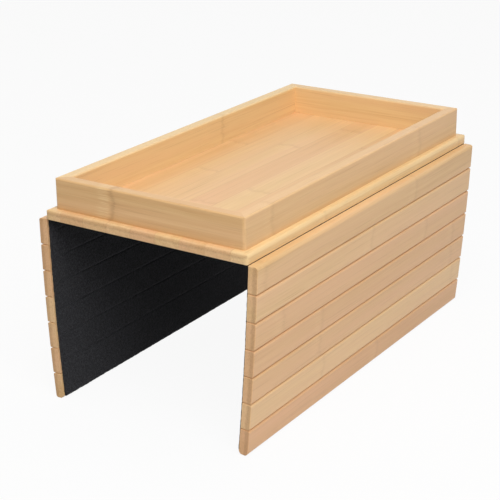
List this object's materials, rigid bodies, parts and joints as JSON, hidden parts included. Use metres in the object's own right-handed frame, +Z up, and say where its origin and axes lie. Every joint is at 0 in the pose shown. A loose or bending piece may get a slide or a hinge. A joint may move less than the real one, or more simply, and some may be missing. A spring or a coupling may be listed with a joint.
{
  "type": "sofa arm tray",
  "caption": "Bamboo tray that sits over a sofa's arm, with a felt-lined flap of hinged slats hanging down each side.",
  "frame": {"origin": "centre of the felt face under the base board, which rests on the sofa's arm", "axes": "+X across the arm to the right, +Y along the arm to the back, +Z up"},
  "size_m": [0.2029, 0.36, 0.1872],
  "materials": {
    "bamboo_board": "satin lacquer",
    "bamboo_wall": "satin lacquer",
    "bamboo_slat": "satin lacquer",
    "felt": "needle felt",
    "screw_steel": "zinc plated"
  },
  "bodies": {
    "tray": {"base_board": "bamboo_board", "tray_front_wall": "bamboo_wall", "tray_back_wall": "bamboo_wall", "tray_left_wall": "bamboo_wall", "tray_right_wall": "bamboo_wall", "tray_screws": "screw_steel", "board_felt": "felt"},
    "left_slat_1": {"left_slat_1": "bamboo_slat", "left_felt_1": "felt"},
    "left_slat_2": {"left_slat_2": "bamboo_slat", "left_felt_2": "felt"},
    "left_slat_3": {"left_slat_3": "bamboo_slat", "left_felt_3": "felt"},
    "left_slat_4": {"left_slat_4": "bamboo_slat", "left_felt_4": "felt"},
    "left_slat_5": {"left_slat_5": "bamboo_slat", "left_felt_5": "felt"},
    "left_slat_6": {"left_slat_6": "bamboo_slat", "left_felt_6": "felt"},
    "left_slat_7": {"left_slat_7": "bamboo_slat", "left_felt_7": "felt"},
    "right_slat_1": {"right_slat_1": "bamboo_slat", "right_felt_1": "felt"},
    "right_slat_2": {"right_slat_2": "bamboo_slat", "right_felt_2": "felt"},
    "right_slat_3": {"right_slat_3": "bamboo_slat", "right_felt_3": "felt"},
    "right_slat_4": {"right_slat_4": "bamboo_slat", "right_felt_4": "felt"},
    "right_slat_5": {"right_slat_5": "bamboo_slat", "right_felt_5": "felt"},
    "right_slat_6": {"right_slat_6": "bamboo_slat", "right_felt_6": "felt"},
    "right_slat_7": {"right_slat_7": "bamboo_slat", "right_felt_7": "felt"}
  },
  "joints": [
    {"name": "left_flap_fold", "type": "hinge", "parent": "tray", "child": "left_slat_1", "pos_m": [-0.0935, 0, 0.0015], "axis": [0, 1, 0], "range_deg": [-74.7, 90.3]},
    {"name": "left_slat_2_fold", "type": "hinge", "parent": "left_slat_1", "child": "left_slat_2", "pos_m": [-0.09338, 0, -0.0206], "axis": [0, -1, 0], "range_deg": [-1.7, 44.3]},
    {"name": "left_slat_3_fold", "type": "hinge", "parent": "left_slat_2", "child": "left_slat_3", "pos_m": [-0.093, 0, -0.0426], "axis": [0, -1, 0], "range_deg": [-1.7, 44.3]},
    {"name": "left_slat_4_fold", "type": "hinge", "parent": "left_slat_3", "child": "left_slat_4", "pos_m": [-0.09235, 0, -0.06459], "axis": [0, -1, 0], "range_deg": [-1.7, 44.3]},
    {"name": "left_slat_5_fold", "type": "hinge", "parent": "left_slat_4", "child": "left_slat_5", "pos_m": [-0.09143, 0, -0.08657], "axis": [0, -1, 0], "range_deg": [-1.7, 44.3]},
    {"name": "left_slat_6_fold", "type": "hinge", "parent": "left_slat_5", "child": "left_slat_6", "pos_m": [-0.09024, 0, -0.10854], "axis": [0, -1, 0], "range_deg": [-1.7, 44.3]},
    {"name": "left_slat_7_fold", "type": "hinge", "parent": "left_slat_6", "child": "left_slat_7", "pos_m": [-0.08878, 0, -0.13049], "axis": [0, -1, 0], "range_deg": [-1.7, 44.3]},
    {"name": "right_flap_fold", "type": "hinge", "parent": "tray", "child": "right_slat_1", "pos_m": [0.0935, 0, 0.0015], "axis": [0, 1, 0], "range_deg": [-92.5, 72.5]},
    {"name": "right_slat_2_fold", "type": "hinge", "parent": "right_slat_1", "child": "right_slat_2", "pos_m": [0.09254, 0, -0.02058], "axis": [0, -1, 0], "range_deg": [-44.55, 1.45]},
    {"name": "right_slat_3_fold", "type": "hinge", "parent": "right_slat_2", "child": "right_slat_3", "pos_m": [0.0914, 0, -0.04255], "axis": [0, -1, 0], "range_deg": [-44.55, 1.45]},
    {"name": "right_slat_4_fold", "type": "hinge", "parent": "right_slat_3", "child": "right_slat_4", "pos_m": [0.0901, 0, -0.06451], "axis": [0, -1, 0], "range_deg": [-44.55, 1.45]},
    {"name": "right_slat_5_fold", "type": "hinge", "parent": "right_slat_4", "child": "right_slat_5", "pos_m": [0.08862, 0, -0.08646], "axis": [0, -1, 0], "range_deg": [-44.55, 1.45]},
    {"name": "right_slat_6_fold", "type": "hinge", "parent": "right_slat_5", "child": "right_slat_6", "pos_m": [0.08697, 0, -0.1084], "axis": [0, -1, 0], "range_deg": [-44.55, 1.45]},
    {"name": "right_slat_7_fold", "type": "hinge", "parent": "right_slat_6", "child": "right_slat_7", "pos_m": [0.08515, 0, -0.13032], "axis": [0, -1, 0], "range_deg": [-44.55, 1.45]}
  ]
}
